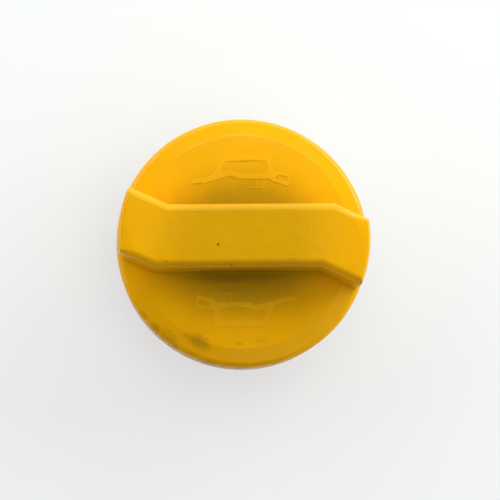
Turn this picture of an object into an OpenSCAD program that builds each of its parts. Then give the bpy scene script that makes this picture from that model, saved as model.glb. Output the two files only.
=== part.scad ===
// Oil filler cap of an engine: a moulded head with a bent grip bar, a neck with two bayonet lugs,
// and a rubber sealing ring pushed up the neck. Millimetres, +Z up, standing on the end of its neck.

/* [Head] */
// Diameter of the head over its skirt
head_d = 60; // [56:0.5:66]
// Height of the straight part of the skirt
skirt_h = 8.5; // [7:0.5:12]
// Thickness of the skirt
skirt_wall = 2.4; // [1.8:0.1:3]
// Thickness of the face that closes the head
face_t = 2.4; // [1.8:0.1:3]
// Diameter of the flat middle of the face
flat_d = 30; // [24:1:36]
// Fall of the face from its flat middle to the rim
face_fall = 0.55; // [0.2:0.05:1]
// Width of the sloping rim
rim_w = 4.4; // [3.5:0.1:6]
// Slope of the rim, in degrees
rim_slope = 18; // [12:1:26]
// Radius of the crease between face and rim
crease_r = 2; // [1:0.5:4]
// Radius of the edge between rim and skirt
edge_r = 2; // [1.2:0.1:2.6]
// Bevel round the foot of the skirt
skirt_bevel = 0.4; // [0.2:0.1:0.8]

/* [Grip bar] */
// Width of the bar where it leaves the face
bar_w = 15.3; // [12:0.1:18]
// Height of the bar above the face
bar_h = 8.7; // [6:0.1:11]
// Length of the straight middle of the bar
bar_straight = 38.2; // [32:0.2:42]
// Angle through which each end of the bar bends, in degrees
bar_bend = 25; // [15:1:32]
// Radius along the top edges of the bar
bar_round = 2; // [1.2:0.1:3]
// Length of the level middle of the bar's top
crown_flat = 24; // [16:1:28]
// Fall of the bar's top from its level middle to its ends
crown_fall = 0.8; // [0.2:0.1:1.2]
// Draft of the bar's long walls, in degrees
bar_draft = 1.5; // [0.5:0.5:3]
// Draft of the bar's end walls, in degrees
end_draft = 3; // [1:0.5:6]
// Radius along the top edge of the bar's ends
end_round = 1.2; // [0.6:0.1:1.6]
// Depth of the flats that break the upright corners of the bar's ends
corner_cut = 0.35; // [0.1:0.05:0.6]
// Distance that the bar's ends stand inside the skirt
bar_inset = 0.3; // [0.2:0.1:1]
// Thickness of the bar's walls and top
bar_wall = 2.3; // [1.8:0.1:3]

/* [Neck] */
// Outside diameter of the neck
neck_d = 35; // [32:0.5:37]
// Thickness of the neck
neck_wall = 2.7; // [2:0.1:3.5]
// Length of neck below the foot of the skirt
neck_drop = 10.5; // [9:0.5:14]
// Bevel round the open end of the neck
neck_bevel = 0.6; // [0.3:0.1:1]
// Relief of the neck above its guide land
neck_relief = 0.3; // [0.1:0.1:0.5]
// Distance from the guide land up to the lugs
land_gap = 0.5; // [0.4:0.1:1]

/* [Bayonet lugs] */
// Distance that the lugs stand out of the neck
lug_reach = 3.2; // [2.5:0.1:3.6]
// Thickness of a lug at its locked end
lug_t = 4; // [3:0.1:5]
// Plain neck below the lugs, which guides the cap into its seat
lug_z = 5.5; // [4.5:0.1:6]
// Angle that a lug covers round the neck, in degrees
lug_arc = 52; // [40:1:60]
// Angle that the ramp of a lug covers, in degrees
ramp_arc = 28; // [20:1:36]
// Fall of the ramp towards the leading end of a lug
lug_ramp = 1.4; // [0.8:0.1:2]
// Bevel along the lower outer edge of a lug
lug_nose = 0.8; // [0.4:0.1:1.2]
// Height of the stop above the lug
stop_h = 2.6; // [1.5:0.1:3]
// Angle that the stop covers, in degrees
stop_arc = 8; // [6:1:12]

/* [Sealing ring] */
// Width of the ring, from the neck outwards
seal_w = 5.1; // [4:0.1:5.5]
// Thickness of the ring
seal_t = 3; // [2.5:0.1:3.5]
// Gap between the neck and the ring
seal_gap = 0.1; // [0.05:0.05:0.2]
// Height of the two lips on the ring's lower face
lip_h = 0.5; // [0.3:0.1:0.8]

/* [Gussets] */
// Number of gussets round the inside of the skirt
gusset_n = 12; // [8:2:16]
// Thickness of a gusset
gusset_t = 1.2; // [0.9:0.1:1.6]
// Depth of a gusset below the face, at the skirt
gusset_h = 5; // [4:0.1:6]

/* [Hidden] */
$fn = 96;
eps = 0.5;
hair = 0.01;
round_steps = 8;

head_r = head_d / 2;
rim_r = head_r - rim_w;
neck_r = neck_d / 2;
bore_r = neck_r - neck_wall;
skirt_in_r = head_r - skirt_wall;

z_skirt = neck_drop;
z_edge = z_skirt + skirt_h;
edge_x = head_r - edge_r;
z_rim = z_edge + edge_r * cos(rim_slope)
    + (edge_x + edge_r * sin(rim_slope) - rim_r) * tan(rim_slope);
z_face = z_rim + face_fall;
z_under = z_face - face_t;
z_bar = z_face + bar_h;
z_end = z_bar - crown_fall;

// The face's outer zone is an arc that leaves the flat middle without a crease
fall_w = rim_r - flat_d / 2;
face_r = (fall_w * fall_w + face_fall * face_fall) / (2 * face_fall);

// Centre of the crease's arc, which touches the slope of the rim and the arc of the face from inside
slope_in = [rim_r - crease_r * sin(rim_slope), z_rim - crease_r * cos(rim_slope)];
slope_run = [cos(rim_slope), -sin(rim_slope)];
face_mid = [flat_d / 2, z_face - face_r];
from_mid = slope_in - face_mid;
crease_mid = slope_in + slope_run * (-from_mid * slope_run
    - sqrt(pow(from_mid * slope_run, 2) - from_mid * from_mid + pow(face_r - crease_r, 2)));
crease_face = face_mid + face_r / (face_r - crease_r) * (crease_mid - face_mid);

seal_in = neck_r - neck_relief + seal_gap;
seal_out = seal_in + seal_w;
seal_clear = 0.5;
pocket_in = seal_out + seal_clear;
pocket_w = bar_w - 2 * bar_wall;

// Half width of the bar at a height above the face
function bar_half(h) = bar_w / 2 - h * tan(bar_draft);
// Radius of the bar's end wall at a height above the widest level of the head
function bar_end(h) = head_r - bar_inset - h * tan(end_draft);

bar_ends = [0, 180];
// Direction in which each end of the bar leaves the middle of the cap
end_run = bar_end(z_face - z_edge) - bar_straight / 2;
crown_run = bar_straight / 2 + end_run - crown_flat / 2;
end_angle = -atan(end_run * sin(bar_bend) / (bar_straight / 2 + end_run * cos(bar_bend)));

// Half section of the head: face, rim, rounded edge and skirt, solid inside. Arcs stand a hair proud of
// the straight lines beside them, so that each pair meets in one clean edge.
module head_section() {
    slope_up = [sin(rim_slope), cos(rim_slope)];
    slope_low = [edge_x, z_edge] + (edge_r - hair) * slope_up;
    slope_top = crease_mid + (crease_r - hair) * slope_up;
    polygon([
        [0, z_skirt], [head_r - skirt_bevel, z_skirt], [head_r, z_skirt + skirt_bevel],
        [head_r, z_edge], [edge_x, z_edge], slope_low, slope_top, crease_mid,
        [crease_face[0], z_edge], [0, z_edge]
    ]);
    intersection() {
        translate([edge_x, z_edge]) circle(edge_r);
        translate([edge_x, z_edge]) square(edge_r);
    }
    translate(crease_mid) circle(crease_r + hair);
    translate([0, z_edge]) square([flat_d / 2, z_face - z_edge]);
    intersection() {
        translate(face_mid + [0, hair]) circle(face_r);
        translate([flat_d / 4, z_edge]) square([crease_face[0] - flat_d / 4, z_face - z_edge + eps]);
    }
}

// Inside of the skirt, up to the underside of the face
module head_hollow() {
    corner = 2.2;
    draft = 0.2;
    rotate_extrude() polygon([
        [0, z_skirt - eps], [skirt_in_r + draft, z_skirt - eps], [skirt_in_r, z_under - corner],
        [skirt_in_r - corner, z_under], [0, z_under]
    ]);
}

// Cross-section of the bar, from its left foot over the top to its right foot: [across, height]
function bar_section(foot) =
    let(
        round_z = z_bar - bar_round,
        round_x = bar_half(round_z - z_face) - bar_round / cos(bar_draft),
        half_foot = bar_half(foot - z_face),
        arc = [for (i = [0 : round_steps]) bar_draft + i * (90 - bar_draft) / round_steps],
        right = [for (a = arc) [round_x + bar_round * cos(a), round_z + bar_round * sin(a)]]
    )
    concat(
        [[-half_foot, foot]],
        [for (p = right) [-p[0], p[1]]],
        [for (i = [len(right) - 1 : -1 : 0]) right[i]],
        [[half_foot, foot]]
    );

// Fall of the bar's top at a distance along the bar from its middle
function crown(along) = crown_fall * pow(max(0, abs(along) - crown_flat / 2) / crown_run, 2);

// Place of a section's point, at a distance along the bar; sections at a bend lie in its mitre
function bar_point(p, along, foot) =
    let(
        reach = bar_straight / 2,
        end = sign(along),
        beyond = abs(along) - reach,
        z = p[1] == foot ? foot : p[1] - crown(along)
    )
    beyond < 0 ? [along, p[0], z]
    : beyond == 0 ? [end * reach + p[0] * tan(bar_bend / 2), p[0], z]
    : [
        end * (reach + beyond * cos(bar_bend)) + p[0] * sin(bar_bend),
        -end * beyond * sin(bar_bend) + p[0] * cos(bar_bend),
        z
    ];

// The grip bar as a solid: one section swept through both bends, trimmed to the round of the head
module bar_solid(foot) {
    reach = bar_straight / 2;
    over = head_r - reach + bar_w / 4;
    mitre = bar_w / 4;
    straight = [for (i = [0 : 2]) crown_flat / 2 + i * (reach - mitre - crown_flat / 2) / 2];
    bent = [for (i = [0 : 4]) reach + mitre + i * (over - mitre) / 4];
    half = concat(straight, [reach], bent);
    stations = concat([for (i = [len(half) - 1 : -1 : 0]) -half[i]], half);
    section = bar_section(foot);
    n = len(section);
    last = len(stations) - 1;
    sides = [
        for (k = [0 : last - 1], j = [0 : n - 1])
            [k * n + j, k * n + (j + 1) % n, (k + 1) * n + (j + 1) % n, (k + 1) * n + j]
    ];
    caps = [[for (j = [n - 1 : -1 : 0]) j], [for (j = [0 : n - 1]) last * n + j]];
    intersection() {
        polyhedron([for (s = stations, p = section) bar_point(p, s, foot)], concat(sides, caps));
        bar_round_end();
        corner_flats(1);
        corner_flats(-1);
    }
}

// Solid of revolution that gives the bar's ends their drafted walls and rounded top edge
module bar_round_end() {
    level = z_end - end_round;
    x = bar_end(level - z_edge);
    step = 22.5;
    arc = [for (a = [step : step : 90 - step]) [x - end_round * (1 - cos(a)), level + end_round * sin(a)]];
    past = z_bar + eps;
    run_out = (past - arc[len(arc) - 1][1]) / tan(step / 2);
    rotate_extrude() polygon(concat(
        [[0, z_skirt], [bar_end(0), z_skirt], [bar_end(0), z_edge], [x, level]], arc,
        [[arc[len(arc) - 1][0] - run_out, past], [0, past]]
    ));
}

// Box across the bar whose two narrow sides cut the flats on a pair of opposite corners
module corner_flats(side) {
    wall = side * bar_half(bar_h / 2);
    foot = [bar_straight / 2 + wall * tan(bar_bend / 2), wall];
    run = [cos(bar_bend), -sin(bar_bend)];
    end_r = bar_end(bar_h / 2 + z_face - z_edge);
    corner = foot + run * (-foot * run + sqrt(pow(foot * run, 2) - foot * foot + end_r * end_r));
    facing = (side * 90 - bar_bend + atan(corner[1] / corner[0])) / 2;
    reach = corner * [cos(facing), sin(facing)] - corner_cut;
    rotate([0, 0, facing]) translate([-reach, -head_d, z_skirt]) cube([2 * reach, 2 * head_d, head_d]);
}

// Cores that hollow the bar from below: one inside the neck, one under each end
module bar_cores() {
    top = z_bar - bar_wall;
    ledge = 0.4;
    inner_r = bore_r - ledge;
    intersection() {
        translate([-head_r, -pocket_w / 2, z_under - eps])
            cube([head_d, pocket_w, top - z_under + eps]);
        translate([0, 0, z_under - 2 * eps]) cylinder(r = inner_r, h = head_r);
    }
    end_top = z_end - bar_wall;
    outer_r = bar_end(end_top - z_edge) - bar_wall;
    for (turn = bar_ends) rotate([0, 0, turn]) intersection() {
        translate([bar_straight / 2, 0, 0]) rotate([0, 0, -bar_bend])
            translate([-bar_w, -pocket_w / 2, z_under - 2])
                cube([head_r, pocket_w, end_top - z_under + 2]);
        difference() {
            translate([0, 0, z_skirt]) cylinder(r = outer_r, h = head_r);
            translate([0, 0, z_skirt - eps]) cylinder(r = pocket_in, h = head_r + 2 * eps);
        }
    }
}

// The neck: a bevelled open end, the guide land and the relieved wall that carries the lugs
module neck_wall_solid() {
    land = lug_z - land_gap;
    wall_r = neck_r - neck_relief;
    rotate_extrude() polygon([
        [0, 0], [neck_r - neck_bevel, 0], [neck_r, neck_bevel], [neck_r, land],
        [wall_r, land + neck_relief], [wall_r, z_under + eps], [0, z_under + eps]
    ]);
}

module neck_bore() {
    rotate_extrude() polygon([
        [0, -eps], [bore_r + neck_bevel / 2 + eps, -eps], [bore_r, neck_bevel / 2],
        [bore_r, z_under], [0, z_under]
    ]);
}

// A bayonet lug: a ramp that climbs from its leading end, a level seat and a stop behind it
module lug() {
    top = lug_z + lug_t;
    root = neck_r - neck_wall / 2;
    tip = neck_r + lug_reach;
    rotate([0, 0, -lug_arc / 2]) difference() {
        rotate_extrude(angle = lug_arc) polygon([
            [root, lug_z], [tip - lug_nose, lug_z], [tip, lug_z + lug_nose], [tip, top + stop_h],
            [root, top + stop_h]
        ]);
        rotate([0, 0, -stop_arc]) rotate_extrude(angle = lug_arc)
            translate([root - eps, top]) square([tip - root + 2 * eps, stop_h + eps]);
        rotate([0, 0, ramp_arc]) translate([0, 0, top])
            ramp_cut(atan(lug_ramp / (tip * sin(ramp_arc))));
    }
}

// Block above the ramp of a lug, hinged on the line where the ramp meets the level seat
module ramp_cut(slope) {
    rotate([slope, 0, 0]) translate([0, -head_r, 0]) cube([head_r, head_r + eps, lug_t]);
}

// Gussets that brace the face against the skirt, outside the sealing ring
module gussets() {
    tip = 1.2;
    slope = 1.6;
    for (i = [0 : gusset_n - 1]) rotate([0, 0, end_angle + (i + 0.5) * 360 / gusset_n])
        translate([0, gusset_t / 2, 0]) rotate([90, 0, 0]) linear_extrude(gusset_t) polygon([
            [pocket_in + tip, z_under + eps], [pocket_in, z_under - tip],
            [skirt_in_r - slope, z_under - gusset_h], [skirt_in_r + eps, z_under - gusset_h],
            [skirt_in_r + eps, z_under + eps]
        ]);
}

module cap() color([0.93, 0.66, 0.04]) {
    difference() {
        union() {
            difference() {
                union() {
                    rotate_extrude() head_section();
                    bar_solid(z_edge - skirt_h / 2);
                }
                head_hollow();
            }
            neck_wall_solid();
            for (turn = [90, 270]) rotate([0, 0, turn]) lug();
            gussets();
        }
        neck_bore();
        bar_cores();
    }
}

// Rubber ring with a square back, held up against the face, and two lips for the filler's mouth
module seal_ring() color([0.07, 0.07, 0.07]) {
    low = z_under - seal_t;
    lip = 1.3;
    rotate_extrude() difference() {
        translate([seal_in, low]) square([seal_w, seal_t]);
        translate([seal_in + lip, low - eps]) square([seal_w - 2 * lip, lip_h + eps]);
    }
}

cap();
seal_ring();
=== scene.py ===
import math

import bpy
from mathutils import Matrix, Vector


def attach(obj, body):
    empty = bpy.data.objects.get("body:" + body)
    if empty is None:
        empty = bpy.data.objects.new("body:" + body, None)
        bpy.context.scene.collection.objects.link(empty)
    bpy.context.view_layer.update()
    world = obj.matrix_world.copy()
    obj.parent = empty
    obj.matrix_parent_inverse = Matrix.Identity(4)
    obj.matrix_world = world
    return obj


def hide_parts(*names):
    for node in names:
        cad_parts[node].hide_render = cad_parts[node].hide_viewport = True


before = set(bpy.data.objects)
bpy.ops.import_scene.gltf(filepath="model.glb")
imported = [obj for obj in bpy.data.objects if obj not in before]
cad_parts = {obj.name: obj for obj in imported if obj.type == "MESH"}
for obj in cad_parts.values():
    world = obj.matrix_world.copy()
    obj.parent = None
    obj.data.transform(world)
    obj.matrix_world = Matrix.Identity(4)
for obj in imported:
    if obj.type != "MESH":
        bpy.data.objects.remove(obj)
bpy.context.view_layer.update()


# Camera: it looks down on the cap from 300 mm, nine degrees off the vertical, from the near left.
# Its focal length in pixels is what makes the head as wide in the frame as it is in the photo
widest_level = 0.019
stand_off = 0.3
focal_pixels, frame_pixels, sensor = 1257, 500, 36
lean, bearing, roll = math.radians(9), math.radians(-110), math.radians(-1.0)
eye = Vector((
    stand_off * math.sin(lean) * math.cos(bearing),
    stand_off * math.sin(lean) * math.sin(bearing),
    widest_level + stand_off * math.cos(lean),
))
aim = Vector((0.0017, -0.0019, widest_level))
bpy.ops.object.camera_add(location=eye)
camera = bpy.context.object
camera.name = "camera"
backward = (eye - aim).normalized()
rightward = Vector((0, 1, 0)).cross(backward).normalized()
upward = backward.cross(rightward)
right = math.cos(roll) * rightward + math.sin(roll) * upward
up = math.cos(roll) * upward - math.sin(roll) * rightward
camera.rotation_mode = "QUATERNION"
turn = camera.rotation_quaternion.to_matrix()
for axis, direction in enumerate((right, up, backward)):
    turn.col[axis] = direction
camera.rotation_quaternion = turn.to_quaternion()
camera.data.sensor_fit = "HORIZONTAL"
camera.data.sensor_width = sensor
camera.data.lens = sensor * focal_pixels / frame_pixels
camera.data.dof.use_dof = False
camera.data.clip_start = 0.01
bpy.context.scene.camera = camera
bpy.context.scene.view_settings.view_transform = "Standard"


# Floor: a sheet of smooth white card, large enough to fill every view. Its own glow, which only the
# camera sees, makes it white and leaves the light on the cap as it is
hair_below = 0.00002
bpy.ops.mesh.primitive_plane_add(size=4, location=(0, 0, -hair_below))
floor = bpy.context.object
floor.name = "white_card"
card = bpy.data.materials.new("white_card")
card.use_nodes = True
nodes, links = card.node_tree.nodes, card.node_tree.links
nodes.clear()
paper = nodes.new("ShaderNodeBsdfDiffuse")
paper.inputs["Color"].default_value = (0.86, 0.87, 0.88, 1)
glow = nodes.new("ShaderNodeEmission")
glow.inputs["Color"].default_value = (0.955, 0.955, 1.0, 1)
glow.inputs["Strength"].default_value = 0.54
seen_paper = nodes.new("ShaderNodeBsdfDiffuse")
seen_paper.inputs["Color"].default_value = (0.41, 0.43, 0.39, 1)
lit = nodes.new("ShaderNodeAddShader")
links.new(seen_paper.outputs[0], lit.inputs[0])
links.new(glow.outputs[0], lit.inputs[1])
seen = nodes.new("ShaderNodeLightPath")
choice = nodes.new("ShaderNodeMixShader")
links.new(seen.outputs["Is Camera Ray"], choice.inputs[0])
links.new(paper.outputs[0], choice.inputs[1])
links.new(lit.outputs[0], choice.inputs[2])
output = nodes.new("ShaderNodeOutputMaterial")
links.new(choice.outputs[0], output.inputs["Surface"])
floor.data.materials.append(card)


# Lamps: soft boxes round the cap, strongest beyond the bar, so that the bar shades the near half of the
# face. A narrow strip only draws the bright line along the crease. The two fills give light and no gloss,
# as behind a polarising sheet
def soft_box(name, bearing, height, width, depth, power):
    """A lamp 0.5 m from the cap, at a bearing and a height in degrees."""
    across, above = math.radians(bearing), math.radians(height)
    place = 0.5 * Vector((
        math.cos(across) * math.cos(above), math.sin(across) * math.cos(above), math.sin(above),
    ))
    bpy.ops.object.light_add(type="AREA", location=place)
    lamp = bpy.context.object
    lamp.name = name
    lamp.rotation_mode = "QUATERNION"
    lamp.rotation_quaternion = place.to_track_quat("Z", "Y")
    lamp.data.shape = "RECTANGLE"
    lamp.data.size = width
    lamp.data.size_y = depth
    lamp.data.energy = power


soft_box("right_key", 36, 24, 0.45, 0.17, 1.88)
soft_box("left_key", 147, 25, 0.45, 0.17, 1.18)
soft_box("back_box", 92, 24, 0.45, 0.17, 0.72)
soft_box("right_side", 0, 20, 0.25, 0.2, 0.34)
soft_box("left_side", 180, 22, 0.25, 0.2, 0.24)
soft_box("back_strip", 82, 56, 0.36, 0.04, 0.42)
bpy.context.object.visible_diffuse = False
soft_box("back_fill", 88, 56, 0.5, 0.5, 0.50)
bpy.context.object.visible_glossy = False
soft_box("near_fill", 312, 52, 0.5, 0.4, 0.82)
bpy.context.object.visible_glossy = False
studio = bpy.data.worlds.new("studio")
bpy.context.scene.world = studio
studio.use_nodes = True
sky = studio.node_tree.nodes["Background"]
sky.inputs["Color"].default_value = (1, 1, 1, 1)
sky.inputs["Strength"].default_value = 0.05


# Cap: one injection moulding in glossy yellow plastic, with the grip bar, neck and lugs in one piece.
# It has been handled with oily fingers: specks, smears and a little dust are left on the bar and the near
# edge of the rim. Round the foot of the bar, where the bar shades the face, the colour is darkened to
# olive as painted shade
bpy.ops.object.select_all(action="DESELECT")
moulding = bpy.data.objects.new("moulded_cap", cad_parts["cap"].data.copy())
bpy.context.scene.collection.objects.link(moulding)
moulding.select_set(True)
bpy.context.view_layer.objects.active = moulding
bpy.ops.object.mode_set(mode="EDIT")
bpy.ops.mesh.select_all(action="SELECT")
bpy.ops.mesh.remove_doubles(threshold=1e-6)
bpy.ops.object.mode_set(mode="OBJECT")
bpy.ops.mesh.customdata_custom_splitnormals_clear()
sharpest_smooth = math.radians(31)
bpy.ops.object.shade_smooth_by_angle(angle=sharpest_smooth, keep_sharp_edges=False)
even = moulding.modifiers.new("even", "WEIGHTED_NORMAL")
even.keep_sharp = True
bpy.ops.object.modifier_apply(modifier="even")

MM = 0.001


def place_noise(tree, where, scale, detail=3.0, rough=0.5):
    """Cloudy values round 0.5 over a surface."""
    cloud = tree.nodes.new("ShaderNodeTexNoise")
    cloud.inputs["Scale"].default_value = scale
    cloud.inputs["Detail"].default_value = detail
    cloud.inputs["Roughness"].default_value = rough
    tree.links.new(where, cloud.inputs["Vector"])
    return cloud.outputs["Fac"]


def fade(tree, value, from_low, from_high, to_low=0.0, to_high=1.0):
    """A soft step of a value from one number to another."""
    step = tree.nodes.new("ShaderNodeMapRange")
    step.interpolation_type = "SMOOTHSTEP"
    for socket, number in zip(step.inputs[1:5], (from_low, from_high, to_low, to_high)):
        socket.default_value = number
    tree.links.new(value, step.inputs[0])
    return step.outputs[0]


def work_out(tree, operation, first, second):
    """One step of arithmetic on two values, the second of which may be a plain number."""
    step = tree.nodes.new("ShaderNodeMath")
    step.operation = operation
    tree.links.new(first, step.inputs[0])
    if isinstance(second, (int, float)):
        step.inputs[1].default_value = second
    else:
        tree.links.new(second, step.inputs[1])
    return step.outputs[0]


def tint(tree, share, under, over):
    """The colour under, covered by the colour over as far as share says."""
    layer = tree.nodes.new("ShaderNodeMix")
    layer.data_type = "RGBA"
    tree.links.new(share, layer.inputs["Factor"])
    for socket, colour in ((layer.inputs["A"], under), (layer.inputs["B"], over)):
        if isinstance(colour, tuple):
            socket.default_value = colour
        else:
            tree.links.new(colour, socket)
    return layer.outputs["Result"]


# A stain is an oval patch with a ragged edge, at one place on the surface
stain = bpy.data.node_groups.new("stain", "ShaderNodeTree")
stain.interface.new_socket("Place", in_out="INPUT", socket_type="NodeSocketVector")
stain.interface.new_socket("Reach", in_out="INPUT", socket_type="NodeSocketVector")
stain.interface.new_socket("Turn", in_out="INPUT", socket_type="NodeSocketVector")
stain.interface.new_socket("Raggedness", in_out="INPUT", socket_type="NodeSocketFloat")
stain.interface.new_socket("Mask", in_out="OUTPUT", socket_type="NodeSocketFloat")
given = stain.nodes.new("NodeGroupInput")
where = stain.nodes.new("ShaderNodeTexCoord").outputs["Object"]
fray = stain.nodes.new("ShaderNodeTexNoise")
fray.inputs["Scale"].default_value = 1500
fray.inputs["Detail"].default_value = 4
stain.links.new(where, fray.inputs["Vector"])
centred = stain.nodes.new("ShaderNodeVectorMath")
centred.operation = "SUBTRACT"
centred.inputs[1].default_value = (0.5, 0.5, 0.5)
stain.links.new(fray.outputs["Color"], centred.inputs[0])
scaled = stain.nodes.new("ShaderNodeVectorMath")
scaled.operation = "SCALE"
stain.links.new(centred.outputs[0], scaled.inputs[0])
stain.links.new(given.outputs["Raggedness"], scaled.inputs["Scale"])
frayed = stain.nodes.new("ShaderNodeVectorMath")
frayed.operation = "ADD"
stain.links.new(where, frayed.inputs[0])
stain.links.new(scaled.outputs[0], frayed.inputs[1])
oval = stain.nodes.new("ShaderNodeMapping")
oval.vector_type = "TEXTURE"
stain.links.new(frayed.outputs[0], oval.inputs["Vector"])
stain.links.new(given.outputs["Place"], oval.inputs["Location"])
stain.links.new(given.outputs["Turn"], oval.inputs["Rotation"])
stain.links.new(given.outputs["Reach"], oval.inputs["Scale"])
reach = stain.nodes.new("ShaderNodeVectorMath")
reach.operation = "LENGTH"
stain.links.new(oval.outputs[0], reach.inputs[0])
result = stain.nodes.new("NodeGroupOutput")
stain.links.new(fade(stain, reach.outputs["Value"], 1.0, 0.35), result.inputs["Mask"])


def add_stain(tree, place, reach, turn, ragged, strength):
    """A stain at a place in millimetres, reaching so far along three axes, turned about +Z."""
    spot = tree.nodes.new("ShaderNodeGroup")
    spot.node_tree = stain
    spot.inputs["Place"].default_value = [MM * number for number in place]
    spot.inputs["Reach"].default_value = [MM * number for number in reach]
    spot.inputs["Turn"].default_value = (0, 0, math.radians(turn))
    spot.inputs["Raggedness"].default_value = MM * ragged
    return work_out(tree, "MULTIPLY", spot.outputs["Mask"], strength)


def strongest(tree, masks):
    """One mask from several: the strongest at each point."""
    joined = masks[0]
    for mask in masks[1:]:
        joined = work_out(tree, "MAXIMUM", joined, mask)
    return joined


# Yellow plastic as it lies on the cap and its raised signs, with stains and dust on it, and painted shade
# round the bar and painted highlights on the bar's end corners and the signs
skin = bpy.data.node_groups.new("handled_yellow", "ShaderNodeTree")
skin.interface.new_socket("Painted shade", in_out="INPUT", socket_type="NodeSocketFloat")
skin.interface.new_socket("Rub and highlight", in_out="INPUT", socket_type="NodeSocketFloat")
skin.interface.new_socket("Color", in_out="OUTPUT", socket_type="NodeSocketColor")
skin.interface.new_socket("Roughness", in_out="OUTPUT", socket_type="NodeSocketFloat")
skin.interface.new_socket("Height", in_out="OUTPUT", socket_type="NodeSocketFloat")
given = skin.nodes.new("NodeGroupInput")
where = skin.nodes.new("ShaderNodeTexCoord").outputs["Object"]
parts = skin.nodes.new("ShaderNodeSeparateXYZ")
skin.links.new(where, parts.inputs[0])
level = parts.outputs["Z"]

drift = place_noise(skin, where, 110, 2.0)
mottle = place_noise(skin, where, 420, 4.0, 0.6)
grain = place_noise(skin, where, 1300, 3.0)
light_yellow, deep_yellow = (0.92, 0.45, 0.0016, 1), (0.885, 0.43, 0.0014, 1)
dull_yellow = (0.66, 0.33, 0.002, 1)
olive_shade = (0.20, 0.155, 0.001, 1)
brown_oil_and_shade = (0.13, 0.06, 0.004, 1)
burnt_brown = (0.035, 0.018, 0.006, 1)
pale_dust_and_highlight = (0.93, 0.74, 0.36, 1)
rubbed_highlight_yellow = (1.0, 0.56, 0.02, 1)
yellow = tint(skin, fade(skin, drift, 0.3, 0.7), light_yellow, deep_yellow)
yellow = tint(skin, fade(skin, mottle, 0.45, 0.75, 0.0, 0.10), yellow, dull_yellow)

# Olive painted shade: the colour is darkened where the bar shades the face, thick at the foot of the bar
# and thin on top of it, and none below the face. It fades out in an oval that ends about where the rim
# begins
face_low, face_high = 0.0208, 0.0212
wall_level, top_level = 0.0232, 0.0262
around = skin.nodes.new("ShaderNodeMapping")
around.vector_type = "TEXTURE"
around.inputs["Location"].default_value = (0, -0.0005, 0)
around.inputs["Scale"].default_value = (0.0225, 0.0192, 1.0)
skin.links.new(where, around.inputs["Vector"])
spread = skin.nodes.new("ShaderNodeVectorMath")
spread.operation = "LENGTH"
skin.links.new(around.outputs[0], spread.inputs[0])
painted_shade = fade(skin, spread.outputs["Value"], 1.15, 0.5)
painted_shade = work_out(skin, "MULTIPLY", painted_shade, fade(skin, level, top_level, wall_level, 0.28, 0.62))
painted_shade = work_out(skin, "MULTIPLY", painted_shade, fade(skin, level, face_low, face_high))
painted_shade = work_out(skin, "MULTIPLY", painted_shade, fade(skin, mottle, 0.3, 0.7, 0.93, 1.04))
painted_shade = work_out(skin, "MULTIPLY", painted_shade, given.outputs["Painted shade"])
colour = tint(skin, painted_shade, yellow, olive_shade)

# Painted shade, with some grime, along the foot of the bar's near wall where the bar shades it; brown
# smears on the near left of the rim, and dark specks with chipped edges on the bar
foot_shade_and_grime = add_stain(skin, (-2.0, -8.8, 24.5), (17.0, 2.2, 4.2), 0, 0.8, 0.42)
colour = tint(skin, foot_shade_and_grime, colour, brown_oil_and_shade)
smears = strongest(skin, [
    add_stain(skin, (-10.9, -23.6, 21.2), (4.2, 2.2, 2.4), -32, 1.8, 0.40),
    add_stain(skin, (-13.6, -22.3, 21.2), (1.3, 1.0, 2), 0, 1.4, 0.30),
    add_stain(skin, (-20.6, -20.2, 19.8), (2.6, 1.4, 2), -45, 1.4, 0.48),
    add_stain(skin, (-23.6, -17.2, 19.6), (1.9, 0.9, 2), -52, 1.2, 0.34),
    add_stain(skin, (-17.9, -22.2, 20.2), (4.6, 2.0, 2.2), -40, 2.0, 0.24),
    add_stain(skin, (-16.4, -24.7, 19.0), (0.9, 0.6, 2), -35, 0.5, 0.62),
    add_stain(skin, (-8.4, -28.5, 18.9), (2.2, 0.7, 2), -14, 0.8, 0.62),
    add_stain(skin, (5.1, -28.7, 18.9), (1.3, 0.6, 2), 8, 0.6, 0.30),
    add_stain(skin, (-1.4, -24.4, 21.4), (1.2, 0.5, 2), -4, 0.7, 0.30),
    add_stain(skin, (3.6, -23.8, 21.6), (2.0, 0.5, 2), 3, 0.8, 0.18),
    add_stain(skin, (-18.6, -5.8, 30.2), (2.6, 0.45, 1.5), -20, 0.9, 0.26),
])
smears = work_out(skin, "MULTIPLY", smears, fade(skin, grain, 0.25, 0.6, 0.55, 1.0))
colour = tint(skin, smears, colour, brown_oil_and_shade)
specks = strongest(skin, [
    add_stain(skin, (-6.33, -2.29, 31.1), (0.34, 0.34, 0.6), 0, 0.16, 0.95),
    add_stain(skin, (-5.98, -1.95, 31.1), (0.22, 0.16, 0.6), 40, 0.14, 0.5),
    add_stain(skin, (-3.25, -6.82, 30.3), (0.30, 0.30, 0.6), 0, 0.14, 0.85),
])
colour = tint(skin, specks, colour, burnt_brown)

# Pale dust on the right of the bar's top, and painted highlights on the corners at its ends, where they
# catch the light
dust = fade(skin, place_noise(skin, where, 2600, 2.0), 0.56, 0.68)
dust_here = strongest(skin, [
    add_stain(skin, (18.0, -0.6, 31.0), (7.5, 6.5, 3), 0, 3.0, 0.09),
    add_stain(skin, (-15.0, 1.0, 31.0), (7.0, 5.0, 3), 0, 3.0, 0.05),
])
dust = work_out(skin, "MULTIPLY", dust, dust_here)
rubbed_and_highlight = strongest(skin, [
    add_stain(skin, (26.6, -10.9, 26.5), (1.5, 1.2, 2.6), 0, 0.5, 0.42),
    add_stain(skin, (-28.7, -3.4, 26.5), (0.8, 1.9, 2.2), 0, 0.5, 0.30),
])
colour = tint(skin, work_out(skin, "MAXIMUM", dust, rubbed_and_highlight), colour, pale_dust_and_highlight)
# The raised signs are tinted paler yellow: partly rubbed clean, partly a painted highlight on their edges
colour = tint(skin, given.outputs["Rub and highlight"], colour, rubbed_highlight_yellow)
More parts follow.
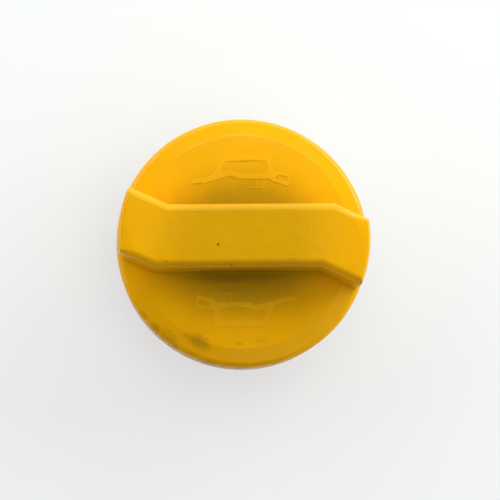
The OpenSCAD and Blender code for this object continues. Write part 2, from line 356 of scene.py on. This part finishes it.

# Dull where it is soiled and a little under the painted shade, with fine handling marks along the bar,
# and a faint orange-peel surface
along = skin.nodes.new("ShaderNodeMapping")
along.inputs["Scale"].default_value = (1.0, 22.0, 6.0)
along.inputs["Rotation"].default_value = (0, 0, math.radians(6))
skin.links.new(where, along.inputs["Vector"])
hairlines = fade(skin, place_noise(skin, along.outputs[0], 150, 3.0, 0.7), 0.55, 0.72)
rough = fade(skin, mottle, 0.3, 0.7, 0.13, 0.18)
rough = work_out(skin, "ADD", rough, work_out(skin, "MULTIPLY", painted_shade, 0.06))
rough = work_out(skin, "ADD", rough, work_out(skin, "MULTIPLY", smears, 0.35))
rough = work_out(skin, "ADD", rough, work_out(skin, "MULTIPLY", hairlines, 0.07))
height = work_out(skin, "SUBTRACT", grain, work_out(skin, "MULTIPLY", hairlines, 0.25))
height = work_out(skin, "SUBTRACT", height, work_out(skin, "MULTIPLY", specks, 3.0))
result = skin.nodes.new("NodeGroupOutput")
skin.links.new(colour, result.inputs["Color"])
skin.links.new(rough, result.inputs["Roughness"])
skin.links.new(height, result.inputs["Height"])


def glossy_yellow(name, painted_shade, rubbed_and_highlight):
    """Yellow plastic with so much of the olive painted shade on it, made pale by so much rubbing and
    painted highlight.
    """
    plastic = bpy.data.materials.new(name)
    plastic.use_nodes = True
    tree = plastic.node_tree
    shader = tree.nodes["Principled BSDF"]
    shader.inputs["Specular IOR Level"].default_value = 0.2
    surface = tree.nodes.new("ShaderNodeGroup")
    surface.node_tree = skin
    surface.inputs["Painted shade"].default_value = painted_shade
    surface.inputs["Rub and highlight"].default_value = rubbed_and_highlight
    bump = tree.nodes.new("ShaderNodeBump")
    bump.inputs["Strength"].default_value = 1.0
    bump.inputs["Distance"].default_value = 0.012 * MM
    tree.links.new(surface.outputs["Color"], shader.inputs["Base Color"])
    tree.links.new(surface.outputs["Roughness"], shader.inputs["Roughness"])
    tree.links.new(surface.outputs["Height"], bump.inputs["Height"])
    tree.links.new(bump.outputs["Normal"], shader.inputs["Normal"])
    return plastic


moulding.data.materials.clear()
moulding.data.materials.append(glossy_yellow("yellow_plastic", 1.0, 0.0))
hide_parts("cap")
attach(moulding, "root")


# Oil can signs: the common sign for engine oil, a can with a handle, a spout and a filler cap, raised by
# a tenth of a millimetre on each half of the face and moulded with it. The second is turned half round
sign_height, sign_edge = 0.1 * MM, 0.08 * MM
over_the_face = 0.024
can_outline = (
    (-11.55, -15.6), (-11.0, -12.8), (-7.3, -14.0), (-6.4, -14.7), (-3.45, -14.7), (-3.45, -12.78),
    (-5.05, -12.78), (-5.05, -12.48), (-1.55, -12.48), (-1.55, -12.78), (-3.15, -12.78), (-3.15, -14.7),
    (1.2, -14.75), (2.9, -15.5), (6.6, -14.4), (9.3, -13.65), (12.3, -13.55), (12.3, -14.7),
    (9.9, -14.75), (7.6, -15.4), (6.3, -17.2), (4.3, -20.4), (-7.3, -20.35), (-7.3, -16.6),
)
can_window = (
    (-6.0, -17.0), (-5.6, -16.1), (-0.6, -15.85), (0.9, -16.2), (2.7, -16.85), (4.75, -16.6),
    (4.9, -17.1), (4.0, -19.0), (-5.7, -19.05),
)
handle_window = ((-8.2, -14.65), (-8.5, -15.7), (-10.85, -15.1), (-10.6, -14.05))
drawing = bpy.data.curves.new("oil_can_sign", "CURVE")
drawing.dimensions = "2D"
drawing.fill_mode = "BOTH"
for loop in (can_outline, can_window, handle_window):
    line = drawing.splines.new("POLY")
    line.points.add(len(loop) - 1)
    for point, (x, y) in zip(line.points, loop):
        point.co = (MM * x, MM * y, 0, 1)
    line.use_cyclic_u = True
sign = bpy.data.objects.new("oil_can_sign", drawing)
bpy.context.scene.collection.objects.link(sign)
sign.location.z = over_the_face
bpy.ops.object.select_all(action="DESELECT")
sign.select_set(True)
bpy.context.view_layer.objects.active = sign
bpy.ops.object.convert(target="MESH")
sign = bpy.context.object
bpy.ops.object.transform_apply(location=True, rotation=True, scale=True)
bpy.ops.object.mode_set(mode="EDIT")
bpy.ops.mesh.select_all(action="SELECT")
bpy.ops.mesh.remove_doubles(threshold=1e-6)
bpy.ops.mesh.subdivide(number_cuts=3)
bpy.ops.mesh.normals_make_consistent(inside=False)
bpy.ops.object.mode_set(mode="OBJECT")
if sign.data.polygons[0].normal.z < 0:
    sign.data.flip_normals()
drop = sign.modifiers.new("drop", "SHRINKWRAP")
drop.target = moulding
drop.wrap_method = "PROJECT"
drop.use_project_z = True
drop.use_negative_direction = True
drop.use_positive_direction = False
bpy.ops.object.modifier_apply(modifier="drop")
raise_up = sign.modifiers.new("raise_up", "SOLIDIFY")
raise_up.thickness = 2 * sign_height
raise_up.offset = 0
bpy.ops.object.modifier_apply(modifier="raise_up")
soften = sign.modifiers.new("soften", "BEVEL")
soften.width = sign_edge
soften.segments = 3
soften.limit_method = "ANGLE"
soften.angle_limit = math.radians(50)
bpy.ops.object.modifier_apply(modifier="soften")
bpy.ops.object.shade_smooth_by_angle(angle=math.radians(40))
sign.data.materials.clear()
sign.data.materials.append(glossy_yellow("yellow_plastic_signs", 0.75, 0.17))
bpy.ops.object.duplicate()
turned_sign = bpy.context.object
turned_sign.name = "oil_can_sign_turned"
turned_sign.rotation_euler.z = math.pi
bpy.ops.object.transform_apply(location=True, rotation=True, scale=True)
for raised in (sign, turned_sign):
    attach(raised, "root")


# Sealing ring: a soft black rubber ring with a square back and two lips, pushed up the neck against the
# underside of the face. It is moulded, matt, and a little greyer where it has rubbed
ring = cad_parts["seal_ring"]
rubber = bpy.data.materials.new("black_rubber")
rubber.use_nodes = True
tree = rubber.node_tree
shader = tree.nodes["Principled BSDF"]
shader.inputs["Specular IOR Level"].default_value = 0.35
where = tree.nodes.new("ShaderNodeTexCoord").outputs["Object"]
bloom = place_noise(tree, where, 260, 4.0, 0.6)
pores = place_noise(tree, where, 3200, 2.0)
fresh_black, rubbed_grey = (0.021, 0.021, 0.022, 1), (0.045, 0.044, 0.042, 1)
greyed = tint(tree, fade(tree, bloom, 0.42, 0.72), fresh_black, rubbed_grey)
tree.links.new(greyed, shader.inputs["Base Color"])
tree.links.new(fade(tree, bloom, 0.3, 0.7, 0.52, 0.70), shader.inputs["Roughness"])
bump = tree.nodes.new("ShaderNodeBump")
bump.inputs["Distance"].default_value = 0.03 * MM
tree.links.new(pores, bump.inputs["Height"])
tree.links.new(bump.outputs["Normal"], shader.inputs["Normal"])
ring.data.materials.clear()
ring.data.materials.append(rubber)
